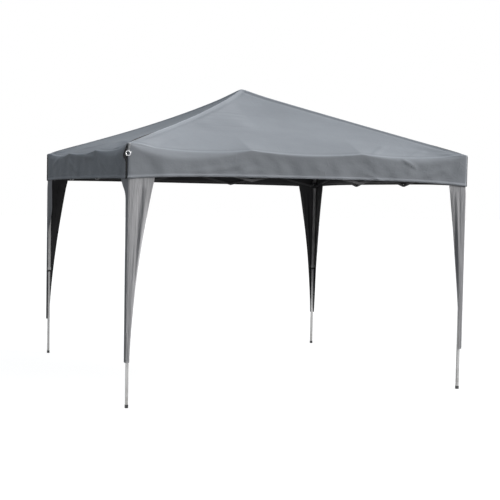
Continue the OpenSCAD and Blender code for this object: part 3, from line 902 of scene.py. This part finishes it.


class SHELTER_OT_canopy(bpy.types.Operator):
    """Make the roof cloth with its valance, cut into caps, gores and half valances that ride the legs"""
    bl_idname = "shelter.canopy"
    bl_label = "Canopy"

    def execute(self, context):
        sizes = context.scene.shelter_cloth
        if not 0 < HEM_Z < sizes.eave_z < PEAK_Z:
            raise RuntimeError("the eave has to lie between the hem and the peak")
        points, faces = canopy_surface(sizes)
        made = cut_cloth(points, faces, "canopy", (material("canopy_cloth"), material("cloth_lining")))
        for part, obj in made.items():
            corner = next(c for c in CORNERS if part.startswith(c))
            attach(obj, leg_body(corner))
            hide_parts("canopy")
            kind, last = part[len(corner) + 1:].split("_")[0], part.split("_")[-1]
            if kind == "cap":
                self.cap(obj, corner, sizes)
            elif kind == "gore":
                self.gore(obj, corner, int(last) - 1, sizes)
            else:
                self.valance(obj, corner, last, sizes)
        return {"FINISHED"}

    def cap(self, obj, corner, sizes):
        """A cap stays flat over its leg, with the end of the valance on both sides; its width and depth are worked out
        but not used
        """
        wide, deep = cap_width(sizes), sizes.eave_z - HEM_Z + sizes.hem

    def gather(self, obj, corner, axis, sizes):
        """Gives a piece a mesh of its own; the axis towards a point 0.10 m in from its corner, inside the corner's
        cap, is worked out but not used
        """
        sx, sy = CORNERS[corner]
        anchor = (sx * HALF, sy * HALF, sizes.eave_z)
        tuple(axis)
        tuple(Vector(anchor) + axis * 0.10)
        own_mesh(obj)

    def gore(self, obj, corner, number, sizes):
        """The axis along which a gore would gather, along its outer edge to stay inside the legs and below the caps,
        and its area; the gore gets its own mesh but is not gathered
        """
        angles = turn_angles(sizes)
        sx, sy = CORNERS[corner]
        turns = [k for k in range(sizes.turns) if gore_of(k, sizes) == number]
        low, high = angles[turns[0]], angles[turns[-1] + 1]
        along = low if low + high < math.pi / 2 else high
        nearer = min(math.sin(along), math.cos(along))
        axis = Vector((-sx * math.cos(along), -sy * math.sin(along), GORE_RISE * nearer))
        # for those beside the eave the axis also leans in behind the corner, as the valance's does
        axis += Vector((sx * math.sin(along), sy * math.cos(along), 0.5)) * TUCK * max(0.0, 1 - 4 * nearer)
        self.gather(obj, corner, axis, sizes)
        ends = [HALF / max(math.cos(a), math.sin(a)) for a in (low, high)]
        area = ends[0] * ends[1] * math.sin(high - low) / 2 / math.cos(SLOPE) \
            * (1 - (cap_steps(sizes) / sizes.steps) ** 2)
        longest = max(ends) * 1.05
        2.05 * area / longest

    def valance(self, obj, corner, side, sizes):
        """The axis along which a half valance would gather, along its side and in behind the corner, and its area; it
        gets its own mesh but is not gathered
        """
        way = side_way(side, corner)
        axis = Vector((*OUT[side], 0)) * TUCK - Vector((*RUN[side], 0)) * way
        self.gather(obj, corner, axis.normalized(), sizes)
        long = HALF - cap_width(sizes)
        drops = [hem_drop(side, way * long * (k + 0.5) / 20, sizes) + sizes.hem for k in range(20)]
        long * sum(drops) / 20


WINGS = {  # width under the valance of the wing on the front or back, and of that on the left or right
    "front_left": (0.212, 0.200), "front_right": (0.165, 0.185), "back_right": (0.200, 0.190),
    "back_left": (0.205, 0.205),
}
CURLED = {"front_left": (-0.02, 0.16), "back_left": (0.26, 0.52)}  # their left wings curl in between these depths
COVER_ROWS, COVER_ACROSS = 90, 17  # mesh rows, and points across one wing


def wing_width(corner, w, below, depth, sizes):
    """Width of a cover's wing at a share of its length and a depth below the hem"""
    foot, full = sizes.foot_width, WINGS[corner][w]
    if w == 1 and corner in CURLED:
        start, end = CURLED[corner]
        foot += 0.022 * (1 - below)
        return foot + (full - foot) * ease((end - depth) / (end - start))
    return foot + (full - foot) * (1 - below) ** (1.1 if w == 1 else 1.55)


def behind_hem(side, u, sizes):
    """How far in the valance hangs at its hem"""
    run = hem_drop(side, u, sizes)
    return min(cloth_point(side, u, run - up, sizes)[0] for up in (0.0, 0.03, 0.06))


def cover_points(corner, top, sizes, cloth):
    """Points of a cover's two wings, row by row, from the front or back wing's edge round the corner to the other's,
    with their UVs and their distance from a hem"""
    sx, sy = CORNERS[corner]
    number = list(CORNERS).index(corner)
    verts, uvs, hems = [], [], []
    for i in range(COVER_ROWS + 1):
        z = top - (top - sizes.foot_z) * i / COVER_ROWS
        depth = HEM_Z - z
        below = max(0.0, depth / (HEM_Z - sizes.foot_z))
        tucked = ease(1 - depth / 0.08)
        inset = 0.0030 + 0.0025 * tucked  # it goes up behind the valance
        for w in range(2):
            side = ("left" if sx < 0 else "right") if w else ("front" if sy < 0 else "back")
            wide = wing_width(corner, w, below, depth, sizes)
            phase = number * 1.9 + w * 2.3
            for k in range(w, COVER_ACROSS):  # both wings share the corner's points
                c = k / (COVER_ACROSS - 1)
                if w == 0:
                    c = 1 - c
                d = c * wide
                slack = ease((d - 0.030) / 0.06) * ease(below / 0.08) \
                    * (0.35 + 0.65 * math.sin(math.pi * min(1, below * 1.05)))
                push = slack * (0.0060 * math.sin(c * 8.5 + phase + below * 3.0)
                                + 0.0040 * math.sin(c * 19.0 - below * 6.0 + 2 * phase) - 0.010 * c)
                corner_round = 0.0015 * math.exp(-(d / 0.004) ** 2)
                out = HALF - inset + push - corner_round
                if tucked > 0:
                    gap = -inset - behind_hem(side, side_way(side, corner) * (HALF - d), cloth) + 0.0034
                    out -= tucked * max(0.0, gap)
                run = HALF - inset - d - corner_round
                x, y = (run, out) if w == 0 else (out, run)
                verts.append(Vector((sx * x, sy * y, z)))
                uvs.append((d if w == 0 else -d, z))
                hems.append(min(wide - d, z - sizes.foot_z) + 0.0002)
    return verts, uvs, hems


class SHELTER_OT_covers(bpy.types.Operator):
    """Make the tapering cloth cover of each leg"""
    bl_idname = "shelter.covers"
    bl_label = "Leg covers"

    def execute(self, context):
        sizes, cloth = context.scene.shelter_covers, context.scene.shelter_cloth
        top = HEM_Z + sizes.lap
        for corner, (sx, sy) in CORNERS.items():
            verts, uvs, hems = cover_points(corner, top, sizes, cloth)
            faces = []
            count = 2 * COVER_ACROSS - 1
            for i in range(COVER_ROWS):
                for k in range(i * count, (i + 1) * count - 1):
                    quad = [k, k + 1, k + count + 1, k + count]
                    faces.append(quad if sx * sy > 0 else quad[::-1])
            normals, area = smooth_normals(verts, faces)
            obj = shell(f"leg_cover_cloth_{corner}", verts, normals,
                        [0.0008 + 0.0012 * (1 - ease((h - 0.009) / 0.002)) for h in hems],
                        [[(i, uvs[i]) for i in face] for face in faces],
                        (material("cover_cloth"), material("cloth_lining")))
            write_hem(obj, hems)
            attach(obj, leg_body(corner))
            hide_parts(f"leg_cover_{corner}")
            widths, length = WINGS[corner], top - sizes.foot_z
            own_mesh(obj)
            sum(widths)
        return {"FINISHED"}


def circle(count, radius=1.0):
    """Points round a circle"""
    turns = [math.tau * k / count for k in range(count)]
    return [(radius * math.cos(a), radius * math.sin(a)) for a in turns]


def swept(path, section, closed=False):
    """Points and faces of a section carried along a path; each path item is (centre, right, up)"""
    verts, faces = [], []
    n = len(section)
    for centre, right, up in path:
        verts += [centre + right * a + up * b for a, b in section]
    steps = len(path) if closed else len(path) - 1
    for i in range(steps):
        j = (i + 1) % len(path)
        for k in range(n):
            m = (k + 1) % n
            faces.append((i * n + k, i * n + m, j * n + m, j * n + k))
    if not closed:
        faces.append(tuple(range(n))[::-1])
        faces.append(tuple(range((len(path) - 1) * n, len(path) * n)))
    return verts, faces


TAPE_WIDE = 0.042
TAPE_WIDTHS = (  # depth below the eave and the tape's width there; on the corner where it spreads behind the ring, the wide part is a dark sheet for the shade there, a painted shadow
    (0.004, 0.012), (0.02, 0.040), (0.04, 0.074), (0.06, 0.108), (0.08, 0.125), (0.095, 0.110), (0.11, 0.075),
    (0.13, 0.048), (0.17, TAPE_WIDE), (0.20, TAPE_WIDE), (0.23, TAPE_WIDE), (0.262, TAPE_WIDE),
)


def corner_tape_and_shadow(corner, side, sizes):
    """Dark binding tape down one side of a corner, lying on the cloth there; partly binding, partly a dark sheet for
    the shade beside the corner, which at the front-left corner spreads behind the ring as a painted shadow
    """
    way = side_way(side, corner)
    columns = 9
    verts, loops, uvs = [], [], []
    for down, wide in TAPE_WIDTHS:
        wide = wide if corner == "front_left" else min(wide, TAPE_WIDE)
        for k in range(columns):
            off = wide * k / (columns - 1)
            u = way * (HALF - 0.0015 - off)
            out, z = cloth_point(side, u, down, sizes)
            verts.append(on_side(side, u, out + 0.0016, z, sizes.eave_z))
            uvs.append((off, -down))
    for i in range(len(TAPE_WIDTHS) - 1):
        for k in range(i * columns, (i + 1) * columns - 1):
            loop = [k, k + columns, k + columns + 1, k + 1]
            loops.append([(n, uvs[n]) for n in (loop if way < 0 else loop[::-1])])
    return shell(f"corner_tape_{corner}", verts, [Vector((*OUT[side], 0))] * len(verts), [0.0010] * len(verts), loops,
                 (material("dark_web"), material("dark_web")))


RING_PLACE = {  # the side each ring hangs on, and how far in from the corner
    "front_left": ("front", 0.005), "front_right": ("right", 0.030), "back_right": ("back", 0.030),
    "back_left": ("back", 0.030),
}
RING_DROP, RING_WIRE, RING_RADIUS = 0.074, 0.0030, 0.0175  # the ring's middle below the eave, its wire, its size
STRAP_PATH = (  # height from the eave, how far out, and how far it leans to the corner
    (0.004, -0.004, 0.009), (0.0, 0.0014, 0.009), (-0.006, 0.0028, 0.0085), (-0.02, 0.0034, 0.007),
    (-0.033, 0.0038, 0.005), (-0.046, 0.0046, 0.0025), (-0.055, 0.0056, 0.001), (-0.058, 0.0060, 0.0),
)
STRAP_SECTION = ((-0.009, -0.0008), (0.009, -0.0008), (0.0098, 0.0), (0.009, 0.0008), (-0.009, 0.0008), (-0.0098, 0.0))


class SHELTER_OT_rings(bpy.types.Operator):
    """Sew a strap with a ring to each corner of the canopy"""
    bl_idname = "shelter.rings"
    bl_label = "Corner rings"

    def execute(self, context):
        sizes = context.scene.shelter_cloth
        for corner, (sx, sy) in CORNERS.items():
            side, inset = RING_PLACE[corner]
            out = Vector((*OUT[side], 0))
            inward = -side_way(side, corner) * Vector((*RUN[side], 0))  # from the corner along the side
            middle = Vector((sx * HALF, sy * HALF, sizes.eave_z)) + inward * inset
            # strap: from under the roof's edge down to the ring, leaning to the corner
            path = [(middle + inward * lean + out * b + Vector((0, 0, z)), inward, out) for z, b, lean in STRAP_PATH]
            verts, faces = swept(path, STRAP_SECTION)
            uvs = [((v - middle).dot(inward), v.z) for v in verts]
            strap = object_from(f"corner_strap_{corner}", verts, faces, material("strap_web"), uvs)
            # ring of round wire, hanging from the strap's loop
            centre = middle + out * 0.0062 - Vector((0, 0, RING_DROP))
            rays = [inward * x + Vector((0, 0, 1)) * y for x, y in circle(44)]
            verts, faces = swept([(centre + ray * RING_RADIUS, ray, out) for ray in rays], circle(14, RING_WIRE),
                                 closed=True)
            ring = object_from(f"corner_ring_{corner}", verts, faces, material("bright_ring"))
            # dark tape that binds the corner on its left or right side; it also stands for the shade there, and behind
            # the front-left ring it is a painted shadow
            tape = corner_tape_and_shadow(corner, "left" if sx < 0 else "right", sizes)
            for piece, name in ((strap, "canopy_cloth"), (ring, "leg_tube"), (tape, "canopy_cloth")):
                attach(piece, leg_body(corner))
        return {"FINISHED"}


LAMPS = {  # where each soft sun shines from, its level on a surface that faces it, its spread in degrees, its colour
    "key_light": ((0.90, -0.36, 0.46), 1.22, 35, (1.0, 0.985, 0.965)),
    "top_light": ((0.0, 0.0, 1.0), 0.26, 90, (0.86, 0.96, 1.05)),
    "left_light": ((-0.90, 0.0, 0.25), 0.05, 50, (0.88, 0.96, 1.0)),
    "back_light": ((0.30, 0.80, 0.45), 0.09, 60, (1.0, 1.0, 1.0)),
}
WORLD_COLOUR, WORLD_LEVEL = (0.92, 0.97, 1.04, 1.0), 0.072
FLOOR_REACH = 60.0
FLOOR_GLOW = 0.84  # with the lamps' light on it the floor is just white, so that a shadow still shows


class SHELTER_OT_stage(bpy.types.Operator):
    """Lay the floor and set the soft studio light"""
    bl_idname = "shelter.stage"
    bl_label = "Stage"

    def execute(self, context):
        scene = context.scene
        scene.view_settings.view_transform = "Standard"
        f = Finish("pale_floor")
        speck = f.noise(3.0, 3.0)
        f.set(Base_Color=f.mix(speck, (0.30, 0.30, 0.30), (0.33, 0.33, 0.33)), Roughness=0.9, Specular_IOR_Level=0.0)
        glow = f.add("ShaderNodeEmission", Color=(1.0, 1.0, 1.0, 1.0), Strength=FLOOR_GLOW)
        lit = f.add("ShaderNodeAddShader", i0=f.wire(f.shader), i1=f.wire(glow))
        plain = f.add("ShaderNodeBsdfDiffuse", Color=(0.16, 0.16, 0.16, 1.0))
        pick = f.add("ShaderNodeMixShader", i0=f.seen(), i1=f.wire(plain), i2=f.wire(lit))
        plug(f.tree, f.output.inputs["Surface"], f.wire(pick))
        around = [Vector((x, y, 0.0)) * FLOOR_REACH for x, y in ((-1, -1), (1, -1), (1, 1), (-1, 1))]
        floor = object_from("floor", around, [(0, 1, 2, 3)], f.material, smooth=False)

        scene.world = bpy.data.worlds.new("studio")
        scene.world.use_nodes = True
        w = Nodes(scene.world.node_tree)
        soft = w.add("ShaderNodeBackground", Color=WORLD_COLOUR, Strength=WORLD_LEVEL)
        white = w.add("ShaderNodeBackground", Color=(1.0, 1.0, 1.0, 1.0), Strength=1.0)
        pick = w.add("ShaderNodeMixShader", i0=w.seen(), i1=w.wire(soft), i2=w.wire(white))
        w.add("ShaderNodeOutputWorld", Surface=w.wire(pick))

        for name, (toward, level, spread, colour) in LAMPS.items():
            data = bpy.data.lights.new(name, "SUN")
            data.energy, data.angle, data.color = level * math.pi, math.radians(spread), colour
            lamp = placed(name, data)
            lamp.location = Vector(toward) * 10
            lamp.rotation_euler = Vector(toward).to_track_quat("Z", "Y").to_euler()
        return {"FINISHED"}


class SHELTER_PT_panel(bpy.types.Panel):
    """The shelter's pieces, sizes and colours"""
    bl_idname = "SHELTER_PT_panel"
    bl_label = "Folding shelter"
    bl_space_type = "VIEW_3D"
    bl_region_type = "UI"
    bl_category = "Shelter"

    def draw(self, context):
        for item in STEPS:
            self.layout.operator(item.bl_idname)
        for name, group in GROUPS.items():
            box = self.layout.box()
            for key in group.__annotations__:
                box.prop(getattr(context.scene, name), key)


STEPS = (SHELTER_OT_camera, SHELTER_OT_finishes, SHELTER_OT_canopy, SHELTER_OT_covers, SHELTER_OT_rings,
         SHELTER_OT_stage)
GROUPS = {"shelter_cloth": ShelterCloth, "shelter_covers": ShelterCovers, "shelter_colours": ShelterColours,
          "shelter_view": ShelterView}


def register():
    for item in (*GROUPS.values(), *STEPS, SHELTER_PT_panel):
        bpy.utils.register_class(item)
    for name, group in GROUPS.items():
        setattr(bpy.types.Scene, name, PointerProperty(type=group))


def unregister():
    for name in GROUPS:
        delattr(bpy.types.Scene, name)
    for item in reversed((*GROUPS.values(), *STEPS, SHELTER_PT_panel)):
        bpy.utils.unregister_class(item)


def main():
    register()
    bpy.ops.shelter.camera()
    bpy.ops.shelter.finishes()
    bpy.ops.shelter.canopy()
    bpy.ops.shelter.covers()
    bpy.ops.shelter.rings()
    bpy.ops.shelter.stage()


if __name__ == "__main__":
    main()
